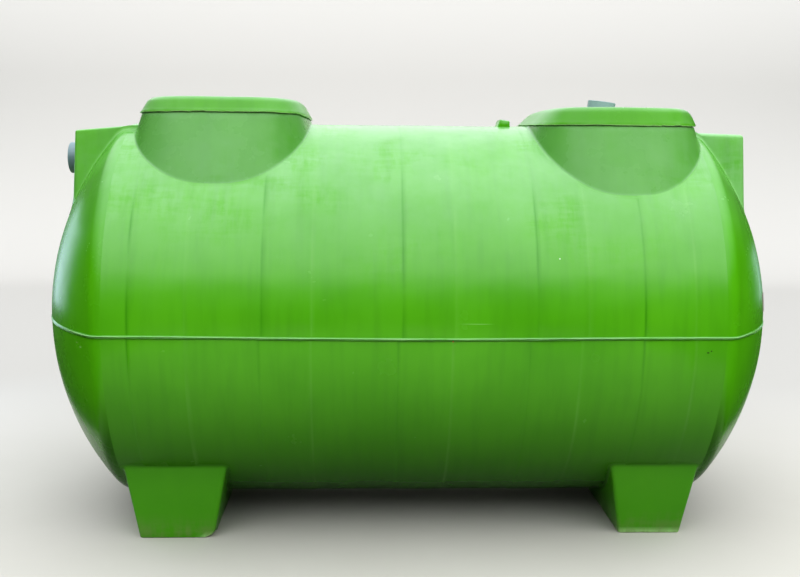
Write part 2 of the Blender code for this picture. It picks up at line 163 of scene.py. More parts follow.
floor_mesh = bmesh.new()
sheet = [(y, 0.0) for y in (floor_front, -1.0, -0.2, 0.6, floor_back)]
for step in range(1, sweep_steps + 1):
    angle = pi / 2 * step / sweep_steps
    sheet.append((floor_back + sweep_radius * sin(angle), sweep_radius * (1 - cos(angle))))
sheet.append((floor_back + sweep_radius, wall_height))
floor_rows = [[floor_mesh.verts.new(edge) for edge in sheet_row(y, z)] for y, z in sheet]
join_rings(floor_mesh, floor_rows, closed_rings=False)
floor = add_object("floor", floor_mesh, painted_board)


# Light. A wide white silk overhead gives the light of an overcast sky. It is bright from about 17 to 30
# degrees above the horizon upwards, reaches lower straight behind and is dim past the ends. The gloss mirrors
# it, with the sheen painted in the gelcoat's film, as a pale upper half and a white crown.
world = bpy.data.worlds.new("overhead_silk")
world.use_nodes = True
bpy.context.scene.world = world
sky = world.node_tree
toward = add_node(sky, "SeparateXYZ", {0: add_node(sky, "TexCoord", {}).outputs["Generated"]})
backward, height = toward.outputs["Y"], toward.outputs["Z"]
low_rear = add_node(sky, "MapRange", {"From Min": 0.74, "From Max": 0.90, "To Max": 0.22, "Value": backward})
lifted = add_node(sky, "Math", {"operation": "ADD", 0: low_rear, 1: height})
above_edge = add_node(sky, "MapRange", {"interpolation_type": "SMOOTHSTEP", "From Min": 0.29,
                                        "From Max": 0.50, "Value": lifted})
silk = add_node(sky, "Mix", {0: above_edge, 6: linear("#3C423A"), 7: linear("#F4F9FF")})
power = add_node(sky, "MapRange", {"From Min": 0.36, "From Max": 1.0, "To Min": 2.82, "To Max": 2.43,
                                   "Value": height})
rear = add_node(sky, "MapRange", {"From Min": 0.10, "From Max": 0.50, "Value": backward})
rear_gain = add_node(sky, "MapRange", {"From Min": 0.40, "From Max": 0.72, "To Min": -0.48, "To Max": -0.44,
                                       "Value": height})
rear_share = add_node(sky, "Math", {"operation": "MULTIPLY_ADD", 0: rear, 1: rear_gain, 2: 1.0})
sideways = add_node(sky, "Math", {"operation": "ABSOLUTE", 0: toward.outputs["X"]})
past_end = add_node(sky, "MapRange", {"interpolation_type": "SMOOTHSTEP", "From Min": 0.50, "From Max": 0.85,
                                      "To Min": 1.0, "To Max": 0.25, "Value": sideways})
dimmed = add_node(sky, "Math", {"operation": "MULTIPLY", 0: power, 1: past_end})
strength = add_node(sky, "Math", {"operation": "MULTIPLY", 0: dimmed, 1: rear_share})
set_up(sky.nodes["Background"], {"Color": silk, "Strength": strength})


def soft_box(name, place, aim, size, power, colour="#FFFFFF", mirrored=True):
    """A lamp behind diffusing cloth. One that isn't mirrored leaves no highlight in the gloss."""
    lamp = bpy.data.lights.new(name, "AREA")
    lamp.shape = "RECTANGLE"
    lamp.size, lamp.size_y = size
    lamp.energy = power
    lamp.color = linear(colour)[:3]
    thing = bpy.data.objects.new(name, lamp)
    thing.location = place
    thing.visible_glossy = mirrored
    thing.rotation_euler = (Vector(aim) - Vector(place)).to_track_quat("-Z", "Y").to_euler()
    bpy.context.scene.collection.objects.link(thing)


# Two low ones behind the ends draw the bluish rims, one fills the outlet end and one lights the backdrop.
soft_box("light_inlet_end", (-2.86, 1.48, 0.95), (-1.12, -0.45, 0.92), (0.95, 0.95), 6.0, "#D4E8FF")
soft_box("light_outlet_end", (2.76, 1.57, 0.76), (1.12, -0.45, 0.85), (0.55, 0.45), 0.8, "#D4E8FF")
soft_box("light_outlet_side", (3.05, -1.30, 1.80), (1.20, -0.35, 0.80), (1.0, 1.0), 15.0, mirrored=False)
soft_box("light_backdrop", (0.3, 5.3, 4.0), (0.3, 8.7, 4.6), (20.0, 1.2), 575.0, "#F3F7FF")
bpy.context.scene.view_settings.view_transform = "Standard"
bpy.context.scene.view_settings.look = "Medium High Contrast"


# Shell. The body is two hand-laid glass-fibre halves: a barrel and two dished ends each, sprayed with bright
# green gelcoat. Wide laminated bands over the barrel show as shallow steps, and the lay leaves it uneven.
tank_radius = 0.660
tank_wall = 0.008
axis_height = 0.710
barrel_half = 0.960
dish_depth = 0.300
knuckle_radius = 0.060
shell_edge = 0.0045
joint_sag, sag_reach = 0.006, 0.95
band_thick = 0.0012
band_edge = 0.008
laminated_bands = {
    1: ((-0.882, -0.705), (-0.476, -0.320), (-0.044, 0.122), (0.371, 0.533), (0.703, 0.864)),
    -1: ((-0.883, -0.704), (-0.486, -0.323), (-0.059, 0.113), (0.347, 0.512), (0.701, 0.867)),
}
ends = (("inlet", -1), ("outlet", 1))
manway_x = {"inlet": -0.645, "outlet": 0.693}
hatch_half_x, hatch_half_y, rim_power = 0.245, 0.350, 3.4
girth_steps, barrel_steps, knuckle_steps, dish_steps = 80, 130, 8, 26
least_station_gap = 0.0012
pole_radius = 0.001

knuckle_ring = tank_radius - knuckle_radius
dish_radius = (knuckle_ring**2 - knuckle_radius**2 + dish_depth**2) / (2 * (dish_depth - knuckle_radius))
dish_centre = dish_depth - dish_radius
knuckle_join = atan2(knuckle_ring, -dish_centre)


def body_radius(x):
    """Outside radius of the body at a place along it."""
    past = abs(x) - barrel_half
    if past <= 0.0:
        return tank_radius
    if past < knuckle_radius * cos(knuckle_join):
        return knuckle_ring + sqrt(knuckle_radius**2 - past**2)
    return sqrt(max(dish_radius**2 - (past - dish_centre) ** 2, 0.0))


def smooth_step(low, high, value):
    """0 at low and 1 at high, with a soft slope between."""
    share = min(max((value - low) / (high - low), 0.0), 1.0)
    return share * share * (3 - 2 * share)


def band_share(x, bands):
    """1 on a band and 0 off it, with a short slope at both edges."""
    total = 0.0
    for start, end in bands:
        total += smooth_step(start, start + band_edge, x) * (1 - smooth_step(end - 2 * band_edge, end, x))
    return total


def skin_lift(point, half):
    """How far the hand-laid skin stands off the true form: waves about 400 and 130 mm long, and the bands."""
    waves = 0.0011 * noise.noise(point * 2.6 + Vector((3.1, 0.0, 7.7)))
    waves += 0.0005 * noise.noise(point * 7.5 + Vector((0.0, 5.2, 1.3)))
    off_joint = smooth_step(0.004, 0.016, abs(point.z - axis_height))
    return waves + band_thick * band_share(point.x, laminated_bands[half]) * off_joint


def body_point(x, radius, angle):
    return Vector((x, radius * cos(angle), axis_height + radius * sin(angle)))


def joint_height(x):
    """The joint hangs a little lower in the middle of the tank than at its ends."""
    if abs(x) >= sag_reach:
        return axis_height
    return axis_height - joint_sag * max(0.0, cos(pi * x / (2 * sag_reach))) ** 2


def shell_piece(profile, half, hatch_x=()):
    """One shell: a skin over stations of (x, radius, normal x, normal radius), its inside and its edges."""
    mesh = bmesh.new()
    tilt = asin(shell_edge / tank_radius)
    layers = []
    for depth in (0.0, tank_wall):
        rows = []
        for x, radius, normal_x, normal_r in profile:
            if radius < pole_radius:
                pole = mesh.verts.new((x - normal_x * depth, 0.0, axis_height + half * shell_edge))
                rows.append([pole] * (girth_steps + 1))
                continue
            row = []
            for step in range(girth_steps + 1):
                angle = half * (pi - tilt - (pi - 2 * tilt) * step / girth_steps)
                lift = skin_lift(body_point(x, radius, angle), half) if depth == 0.0 else -depth
                point = body_point(x + normal_x * lift, radius + normal_r * lift, angle)
                if step in (0, girth_steps):
                    point.z = joint_height(x) + half * shell_edge
                row.append(mesh.verts.new(point))
            rows.append(row)
        layers.append(rows)
    skin, inside = layers

    def is_open(row, step):
        """Whether a face of the skin lies over a manway, where the barrel is cut away."""
        corners = (skin[row][step], skin[row + 1][step], skin[row][step + 1], skin[row + 1][step + 1])
        middle = sum((vert.co for vert in corners), Vector()) / 4
        across = abs(middle.y / hatch_half_y) ** rim_power
        return middle.z > axis_height and any(
            abs((middle.x - centre) / hatch_half_x) ** rim_power + across < 1 for centre in hatch_x)

    row_count = len(profile) - 1
    squares = [(row, step) for row in range(row_count) for step in range(girth_steps)]
    opened = {square for square in squares if is_open(*square)}
    for row, step in squares:
        if (row, step) in opened:
            continue
        for layer in layers:
            add_face(mesh, (layer[row][step], layer[row][step + 1],
                            layer[row + 1][step + 1], layer[row + 1][step]))
        # The squares beside it, each with the two corners that they share.
        a, b, c, d = (row, step), (row, step + 1), (row + 1, step), (row + 1, step + 1)
        beside = (((row - 1, step), a, b), ((row + 1, step), c, d),
                  ((row, step - 1), a, c), ((row, step + 1), b, d))
        for (next_row, next_step), start, end in beside:
            outside = next_row in (-1, row_count) or next_step in (-1, girth_steps)
            at_pole = profile[start[0]][1] < pole_radius and profile[end[0]][1] < pole_radius
            if ((next_row, next_step) in opened or outside) and not at_pole:
                add_face(mesh, (skin[start[0]][start[1]], skin[end[0]][end[1]],
                                inside[end[0]][end[1]], inside[start[0]][start[1]]))
    return mesh


def barrel_profile():
    """Stations along the barrel, close together at every band's edges."""
    places = set()
    for step in range(barrel_steps + 1):
        places.add(round(-barrel_half + 2 * barrel_half * step / barrel_steps, 4))
    for start, end in laminated_bands[1] + laminated_bands[-1]:
        places.update(round(start + offset, 4) for offset in (-0.006, -0.002, 0.0, 0.002, 0.004))
        places.update(round(end + offset, 4) for offset in (-0.008, -0.004, 0.0))
    kept = []
    for x in sorted(places):
        if not kept or x - kept[-1] > least_station_gap or x == barrel_half:
            kept.append(x)
    return [(x, tank_radius, 0.0, 1.0) for x in kept]


def dish_profile(side):
    """Stations of a dished end, from the barrel's edge to the pole, with the skin's normal at each."""
    stations = []
    for step in range(knuckle_steps):
        angle = pi / 2 + (knuckle_join - pi / 2) * step / knuckle_steps
        radius = knuckle_ring + knuckle_radius * sin(angle)
        stations.append((knuckle_radius * cos(angle), radius, angle))
    for step in range(dish_steps + 1):
        angle = knuckle_join * (1 - step / dish_steps)
        stations.append((dish_centre + dish_radius * cos(angle), dish_radius * sin(angle), angle))
    return [(side * (barrel_half + past), radius, side * cos(angle), sin(angle))
            for past, radius, angle in stations]


def sprayed_gelcoat(name, seed, roughness=0.20, gloss=0.38, dust_and_sheen_base=0.0, ripple=0.32, belly_shade_from=-0.14,
                    belly_shade_full=-0.95, tones=("#4F9F0A", "#58A914"), dirt_below=None, flecks=()):
    """Gelcoat over hand-laid glass fibre: a glossy skin with slow ripples, rubbed patches and dust, with a
    painted sheen where it looks up and painted shade on the belly.
    """
    material, tree, shader, place = start_material(name)
    at = add_node(tree, "Mapping", {"Location": (seed, 0.0, 0.0), "Vector": place})
    # Patches 300 to 500 mm across, where more or less pigment lies over the laminate.
    pigment = add_node(tree, "TexNoise", {"Scale": 2.4, "Detail": 3.0, "Roughness": 0.6, "Vector": at})
    patches = add_node(tree, "MapRange", {"From Min": 0.35, "From Max": 0.65, "Value": pigment})
    finish = add_node(tree, "Mix", {0: patches, 6: linear(tones[0]), 7: linear(tones[1])})
    # The brush was drawn round the girth: marks about 30 mm apart, 3 to 8 mm wide where they break up.
    girth = add_node(tree, "Mapping", {"Scale": (1.0, 0.10, 0.10), "Vector": at})
    brush = add_node(tree, "TexNoise", {"Scale": 34.0, "Detail": 3.0, "Vector": girth})
    dragged = add_node(tree, "MapRange", {"From Min": 0.46, "From Max": 0.74, "To Max": 0.22, "Value": brush})
    # A film of dust and chalked resin, which also paints the sky's pale sheen on the upper surfaces, lies
    # where the surface looks up, thin in clouds 100 to 200 mm across.
    normal = add_node(tree, "NewGeometry", {}).outputs["Normal"]
    facing = add_node(tree, "SeparateXYZ", {0: normal}).outputs["Z"]
    film_and_sheen = add_node(tree, "MapRange", {"interpolation_type": "SMOOTHSTEP", "From Min": 0.05, "From Max": 1.05,
                                       "To Min": dust_and_sheen_base, "To Max": dust_and_sheen_base + 0.25, "Value": facing})
    cloud = add_node(tree, "TexNoise", {"Scale": 6.0, "Detail": 4.0, "Roughness": 0.6, "Vector": at})
    clouds = add_node(tree, "MapRange", {"From Min": 0.30, "From Max": 0.70, "To Min": 0.66, "To Max": 1.10,
                                         "Value": cloud})
    # It is rubbed thin in patches, by strokes along and across the girth that are 5 to 15 mm wide.
    patch = add_node(tree, "TexNoise", {"Scale": 4.6, "Detail": 3.0, "Vector": at})
    where = add_node(tree, "MapRange", {"From Min": 0.48, "From Max": 0.68, "To Max": -0.62, "Value": patch})
    round_girth = add_node(tree, "Mapping", {"Scale": (1.0, 0.22, 0.22), "Vector": at})
    down = add_node(tree, "TexNoise", {"Scale": 46.0, "Detail": 6.0, "Roughness": 0.6, "Vector": round_girth})
    lengths = add_node(tree, "Mapping", {"Scale": (0.25, 1.0, 1.0), "Vector": at})
    across = add_node(tree, "TexNoise", {"Scale": 38.0, "Detail": 6.0, "Roughness": 0.6, "Vector": lengths})
    crossed = add_node(tree, "Math", {"operation": "ADD", 0: down, 1: across})
    strokes = add_node(tree, "MapRange", {"From Min": 0.86, "From Max": 1.20, "Value": crossed})
    kept = add_node(tree, "Math", {"operation": "MULTIPLY_ADD", 0: where, 1: strokes, 2: 1.0})
    clouded = add_node(tree, "Math", {"operation": "MULTIPLY", 0: film_and_sheen, 1: clouds})
    dust_and_sheen = add_node(tree, "Math", {"operation": "MULTIPLY", 0: clouded, 1: kept})
    # Painted shade: the belly is darkened the more its surface faces down.
    painted_belly_shade = add_node(tree, "MapRange", {"interpolation_type": "SMOOTHSTEP", "From Min": belly_shade_from,
                                       "From Max": belly_shade_full, "To Max": 0.90, "Value": facing})
    # A few specks of lint and resin dust, 2 to 4 mm across, on the whole tank.
    cells = add_node(tree, "TexVoronoi", {"Scale": 22.0, "Vector": at})
    picked = add_node(tree, "SeparateColor", {"Color": cells.outputs["Color"]})
    few = add_node(tree, "Math", {"operation": "GREATER_THAN", 0: picked, 1: 0.99})
    small = add_node(tree, "Math", {"operation": "LESS_THAN", 0: cells.outputs["Distance"], 1: 0.04})
    speck = add_node(tree, "Math", {"operation": "MULTIPLY", 0: few, 1: small})
    # Painted shade along the laps' first edges, and pale raw laminate at trimmed or chipped edges together
    # with a faint painted highlight along the laps' last edges, are marked on the mesh.
    run = add_node(tree, "Attribute", {"attribute_name": "lap_shade"}).outputs["Fac"]
    raw_and_highlight = add_node(tree, "Attribute", {"attribute_name": "raw_edge_and_highlight"}).outputs["Fac"]
    # The pale film layer also paints sheen, the dark belly layer paints shade, and the lap lines paint shade
    # and a highlight.
    layers = [(dragged, "#3E860A"), (dust_and_sheen, "#D3E6DC"), (painted_belly_shade, "#24500A"), (speck, "#B9D6A4"),
              (run, "#2F8000"), (raw_and_highlight, "#B8DF9A")]
    # Single flecks, nicks and scuffs, each a soft-edged oval at its own place on the tank.
    for middle, reach, hex_colour in flecks:
        shift = tuple(-spot / half for spot, half in zip(middle, reach))
        near = add_node(tree, "Mapping", {"Location": shift, "Scale": tuple(1 / half for half in reach),
                                          "Vector": place})
        off = add_node(tree, "VectorMath", {"operation": "LENGTH", 0: near}).outputs["Value"]
        inside = add_node(tree, "MapRange", {"From Min": 1.0, "From Max": 0.6, "To Max": 0.9, "Value": off})
        layers.append((inside, hex_colour))
    # Dirt is splashed up from the floor and scraped off again in strokes.
    if dirt_below is not None:
        up = add_node(tree, "SeparateXYZ", {0: place}).outputs["Z"]
        splash = add_node(tree, "MapRange", {"From Min": dirt_below, "From Max": 0.0, "To Max": 0.55,
                                             "Value": up})
        dirt = add_node(tree, "Math", {"operation": "MULTIPLY", 0: splash, 1: strokes})
        layers.append((dirt, "#6F7F4E"))
    for share, hex_colour in layers:
        finish = add_node(tree, "Mix", {0: share, 6: finish, 7: linear(hex_colour)})
    # The gloss is duller under the film's clouds, and most of it is taken off the belly under its painted
    # shade.
    dull = add_node(tree, "MapRange", {"From Min": 0.30, "From Max": 0.70, "To Min": roughness,
                                       "To Max": roughness + 0.08, "Value": cloud})
    sheen = add_node(tree, "Math", {"operation": "MULTIPLY_ADD", 0: painted_belly_shade, 1: -0.85 * gloss, 2: gloss})
    # Ripples 60 to 120 mm long, the brush marks and an orange peel of about 9 mm.
    ripples = add_node(tree, "TexNoise", {"Scale": 9.0, "Detail": 1.0, "Vector": at})
    peel = add_node(tree, "TexNoise", {"Scale": 110.0, "Detail": 1.0, "Vector": at})
    slow = add_node(tree, "Bump", {"Strength": ripple, "Distance": 0.006, "Height": ripples})
    lay = add_node(tree, "Bump", {"Strength": 0.04, "Distance": 0.0012, "Height": brush, "Normal": slow})
    bumps = add_node(tree, "Bump", {"Strength": 0.015, "Distance": 0.0008, "Height": peel, "Normal": lay})
    set_up(shader, {"Base Color": finish, "Roughness": dull, "IOR": 1.5, "Specular IOR Level": gloss})
    set_up(shader, {"Specular IOR Level": sheen, "Normal": bumps})
    return material


barrel_flecks = (((0.110, -0.660, 0.698), (0.003, 0.010, 0.003), "#D02A18"),
                 ((0.902, -0.658, 0.664), (0.005, 0.010, 0.003), "#1C3A0E"),
                 ((0.912, -0.658, 0.669), (0.003, 0.010, 0.003), "#1C3A0E"),
                 ((0.440, -0.620, 0.950), (0.003, 0.010, 0.003), "#DDEBD2"),
                 ((0.180, -0.656, 0.752), (0.060, 0.020, 0.0012), "#86C565"))
dish_flecks = (((-1.050, -0.580, 0.680), (0.005, 0.010, 0.002), "#B4D69C"),
               ((-1.035, -0.600, 0.668), (0.005, 0.010, 0.002), "#B4D69C"))
shell_gelcoat = sprayed_gelcoat("gelcoat_on_barrel", 0.0, belly_shade_from=0.03, flecks=barrel_flecks)
dish_gelcoat = sprayed_gelcoat("gelcoat_on_dished_ends", 2.0, roughness=0.22, gloss=0.26, dust_and_sheen_base=-0.03,
                               ripple=0.10, belly_shade_full=-0.60, flecks=dish_flecks)


def finish_piece(thing, *nodes, slot="green_gelcoat"):
    """The piece rides on the tank and stands for CAD nodes, which it hides. The slot argument is not used."""
    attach(thing, "root")
    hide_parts(*nodes)


def mark(thing, name, shares):
    """Marks a share from 0 to 1 on each vertex, for the gelcoat to read."""
    layer = thing.data.attributes.new(name, "FLOAT", "POINT")
    layer.data.foreach_set("value", [min(max(share, 0.0), 1.0) for share in shares])


# Width of the painted lines of shade and highlight at the laps' edges.
lap_line_width = 0.006


def lap_marks(thing, bands):
    """Painted shade along each band's first edge, strongest at mid height, and a faint painted highlight
    along its last.
    """
    dark, pale = [], []
    for vert in thing.data.vertices:
        x, z = vert.co.x, vert.co.z
        break_up = 0.75 + 1.1 * noise.noise(vert.co * 7.0)
        depth = 0.12 + 0.50 * smooth_step(1.30, 1.0, z) * smooth_step(0.55, 0.72, z)
        at_first = max(max(0.0, 1 - abs(x - start - 0.001) / lap_line_width) for start, _ in bands)
        at_last = max(max(0.0, 1 - abs(x - end + 0.003) / lap_line_width) for _, end in bands)
        dark.append(at_first * depth * break_up)
        pale.append(at_last * 0.05 * break_up)
    mark(thing, "lap_shade", dark)
    mark(thing, "raw_edge_and_highlight", pale)


for word, half in (("upper", 1), ("lower", -1)):
    hatches = list(manway_x.values()) if half > 0 else ()
    barrel = add_object(word + "_barrel_shell", shell_piece(barrel_profile(), half, hatches), shell_gelcoat)
    lap_marks(barrel, laminated_bands[half])
    bands = [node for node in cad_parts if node.startswith(word + "_band_")]
    finish_piece(barrel, word + "_barrel", *bands)
    for end, side in ends:
        dish_mesh = shell_piece(dish_profile(side), half)
        dish = add_object(end + "_end_" + word + "_shell", dish_mesh, dish_gelcoat)
        finish_piece(dish, end + "_end_" + word)


# Joint. Each half ends in a thin flange that was trimmed with a disc cutter after moulding, so its edge is
# pale and slightly ragged. The upper one overhangs the lower, which leaves a dark line below the pale one.
joint_steps = 110
joint_gap = 0.00015
flange_rise = 0.0048
flange_root = -0.006
lower_gap = 0.0018


def joint_outline():
    """The body's plan at mid height as (x, y, outward x, outward y), once round."""
    quarter = [(barrel_half * step / joint_steps, -tank_radius, 0.0, -1.0) for step in range(joint_steps)]
    quarter += [(x, -radius, normal_x, -normal_r) for x, radius, normal_x, normal_r in dish_profile(1)]
    outlet_half = quarter + [(x, -y, nx, -ny) for x, y, nx, ny in quarter[-2:0:-1]]
    return outlet_half + [(-x, -y, -nx, -ny) for x, y, nx, ny in outlet_half]


def joint_flange(name, half, reach, thick, node):
    """One half's flange, all round the tank."""
    mesh = bmesh.new()
    shares = []
    rings = []
    for x, y, normal_x, normal_y in joint_outline():
        low = joint_height(x) + half * joint_gap
        high = joint_height(x) + half * (flange_rise + joint_gap)
        at = Vector((x, y, 0.0))
        ragged = reach * (1 - 0.7 * smooth_step(0.98, 1.15, abs(x)))
        ragged += 0.0010 * noise.noise(at * 31) + 0.0007 * noise.noise(at * 110)
        ragged += band_thick * 0.8 * band_share(x, laminated_bands[half])
        sag = 0.0006 * noise.noise(at * 14 + Vector((0, 0, half * 5.0)))
        pale = (0.26 + 0.7 * noise.noise(at * 9 + Vector((0, 4, 0)))) if half > 0 else 0.0
        near = low if half > 0 else low - lower_gap
        far = near + half * thick
        # The section as (distance out, height, paleness): a chamfer at the trim, a fillet at the root.
        section = ((flange_root, low, 0.0), (0.0008, low, 0.0), (0.0012, near, 0.0),
                   (ragged - 0.0006, near, pale / 2), (ragged, near + half * thick * 0.3, pale),
                   (ragged - 0.0002, far - half * thick * 0.3, pale), (ragged - 0.0010, far, pale / 2),
                   (0.0022, far + half * 0.0004, 0.0), (0.0012, far + half * 0.0014, 0.0),
                   (0.0007, high, 0.0), (flange_root, high, 0.0))
        ring = []
        for out, z, share in section:
            lift = sag if out > 0.0012 else 0.0
            ring.append(mesh.verts.new((x + normal_x * out, y + normal_y * out, z + lift)))
            shares.append(share)
        rings.append(ring)
    join_rings(mesh, rings, closed_rows=True)
    thing = add_object(name, mesh, shell_gelcoat)
    mark(thing, "raw_edge_and_highlight", shares)
    finish_piece(thing, node)


joint_flange("upper_joint_flange", 1, 0.0056, 0.0015, "upper_flange")
joint_flange("lower_joint_flange", -1, 0.0042, 0.0026, "lower_flange")


# Manway necks. Each is a separate oval moulding with drafted sides, trimmed to the round of the barrel and
# laminated on. Its foot runs out in a soft fillet, whose lower half is sprayed with the barrel. The rim under
# the lid is cut off straight.
manways = {
    "inlet": {"rim_up": 0.026, "half_x": 0.282, "half_y": 0.372, "roll": 0.0},
    "outlet": {"rim_up": 0.003, "half_x": 0.279, "half_y": 0.390, "roll": radians(1.4)},
}
neck_draft_x, neck_draft_y, power_fall = 0.34, 0.45, 3.0
neck_fillet = 0.011
oval_steps = 144
fillet_steps, fillet_ring = 6, 14
buried = 0.0065


def signed_power(value, power):
    return copysign(abs(value) ** power, value)


def oval_point(half_x, half_y, power, angle):
    """A point on a squarish oval."""
    along, across = signed_power(cos(angle), 2 / power), signed_power(sin(angle), 2 / power)
    return along * half_x, across * half_y


def oval_angles(count):
    """Angles that space the points of a squarish oval evenly, closer together at its corners."""
    turns = [2 * pi * step / count for step in range(count)]
    return [turn - 0.06 * sin(4 * turn) for turn in turns]


def rolled(point, roll):
    """Turns a point about the tank's own axis."""
    y, z = point.y, point.z - axis_height
    return Vector((point.x, y * cos(roll) - z * sin(roll),
                   axis_height + y * sin(roll) + z * cos(roll)))


def above_body(point):
    """How far a point stands outside the body."""
    return hypot(point.y, point.z - axis_height) - body_radius(point.x)


def onto_body(point, sink=0.0):
    """The nearest place on the body to a point, sunk a little into the skin."""
    moved = point.copy()
    for _ in range(5):
        reach = hypot(moved.y, moved.z - axis_height)
        fall = (body_radius(moved.x - 0.0001) - body_radius(moved.x + 0.0001)) / 0.0002
        slope = Vector((fall, moved.y / reach, (moved.z - axis_height) / reach))
        moved -= slope * (above_body(moved) + sink * slope.length) / slope.length_squared
    return moved


def onto_skin(point, sink=0.0):
    """The same, on the uneven skin with its bands."""
    half = 1 if point.z > axis_height else -1
    return onto_body(point, sink - skin_lift(onto_body(point), half))


def wall_points(wall, start, end, width, outward_hint, rows=8, sink=0.0010, rise=0.0, run=1.6):
    """Points down a wall to where it meets the body, then round a fillet that ends just under the skin."""
    low, high = start, end
    for _ in range(40):
        middle = (low + high) / 2
        if above_body(wall(middle)) > 0:
            low = middle
        else:
            high = middle
    corner = wall(low)
    along = (corner - wall(low - 0.001)).normalized()
    upward = (onto_body(corner, -0.01) - corner).normalized()
    outward = (outward_hint - upward * outward_hint.dot(upward)).normalized()
    first = corner - along * width
    last = onto_skin(corner + outward * width, -rise)
    top = wall(start)
    points = [top.lerp(first, row / rows) for row in range(rows)]
    for step in range(fillet_steps + 1):
        t = step / fillet_steps
        points.append(first * (1 - t) ** 2 + corner * 2 * t * (1 - t) + last * t * t)
    points.append(onto_skin(corner + outward * width * run, sink))
    return points, corner


neck_gelcoat = sprayed_gelcoat("gelcoat_on_necks", 4.0, roughness=0.24, gloss=0.30, dust_and_sheen_base=0.04,
                               tones=("#469010", "#4E9918"))
for end, size in manways.items():
    rim_z = axis_height + tank_radius + size["rim_up"]
    mesh = bmesh.new()
    columns = []
    for angle in oval_angles(oval_steps):
        def wall(depth, inset=0.0, angle=angle):
            half_x = size["half_x"] + neck_draft_x * depth - inset
            half_y = size["half_y"] + neck_draft_y * depth - inset
            x, y = oval_point(half_x, half_y, rim_power - power_fall * depth, angle)
            return rolled(Vector((manway_x[end] + x, y, rim_z - depth)), size["roll"])
        normal = Vector((signed_power(cos(angle), 2 - 2 / rim_power) / size["half_x"],
                         signed_power(sin(angle), 2 - 2 / rim_power) / size["half_y"], 0.0)).normalized()
        points, corner = wall_points(wall, start=0.0004, end=0.32, width=neck_fillet, outward_hint=normal)
        rim = [wall(0.0, 0.0075), wall(0.0, 0.0022), wall(0.0010, 0.0005), wall(0.0028, 0.0)]
        inside = [onto_body(corner, buried) - normal * tank_wall, wall(0.004, 0.0080)]
        columns.append([mesh.verts.new(point) for point in rim + points[1:] + inside])
    rings = [list(row) for row in zip(*columns)]
    join_rings(mesh, rings[:fillet_ring + 1])
    join_rings(mesh, rings[fillet_ring:] + rings[:1], slot=1)
    neck = add_object(end + "_manway_neck", mesh, neck_gelcoat, shell_gelcoat)
    # The outlet neck's rim is torn at its inner end.
    if end == "outlet":
        torn = []
        for vert in neck.data.vertices:
            past = (manway_x[end] - vert.co.x) / size["half_x"]
            rough = smooth_step(1.02, 1.10, past) * (0.6 + noise.noise(vert.co * 60))
            torn.append(rough * smooth_step(1.345, 1.36, vert.co.z))
        mark(neck, "raw_edge_and_highlight", torn)
    finish_piece(neck, end + "_neck")


# Lids. Each is a shallow oval tray moulding set upside down on its neck, with a drafted side, a soft shoulder
# and a flat top. Its lip was trimmed by hand, so the dark gap over the neck's rim is uneven.
lid_height = 0.0525
lid_overhang = 0.004
lid_draft = radians(30)
lid_shoulder = 0.030
lip_height, lip_fade = 0.004, 0.010
side_steps, shoulder_steps = 5, 8
lid_gelcoat = sprayed_gelcoat("gelcoat_on_lids", 9.0, roughness=0.26, gloss=0.22, dust_and_sheen_base=-0.06,
                              tones=("#49950A", "#529E12"))


def lid_sections():
    """The lid's outside as (inset, height) from its lip to the middle of its top."""
    centre_z = lid_height - lid_shoulder
    side_z = centre_z + lid_shoulder * sin(lid_draft)
    side_inset = (side_z - lip_height) * tan(lid_draft)
    centre_inset = side_inset + lid_shoulder * cos(lid_draft)
    sections = [(0.0015, 0.0), (0.0, 0.0014), (0.0002, lip_height)]
    for step in range(1, side_steps):
        sections.append((side_inset * step / side_steps,
                         lip_height + (side_z - lip_height) * step / side_steps))
    for step in range(shoulder_steps + 1):
        angle = lid_draft + (pi / 2 - lid_draft) * step / shoulder_steps
        sections.append((centre_inset - lid_shoulder * cos(angle),
                         centre_z + lid_shoulder * sin(angle)))
    return sections


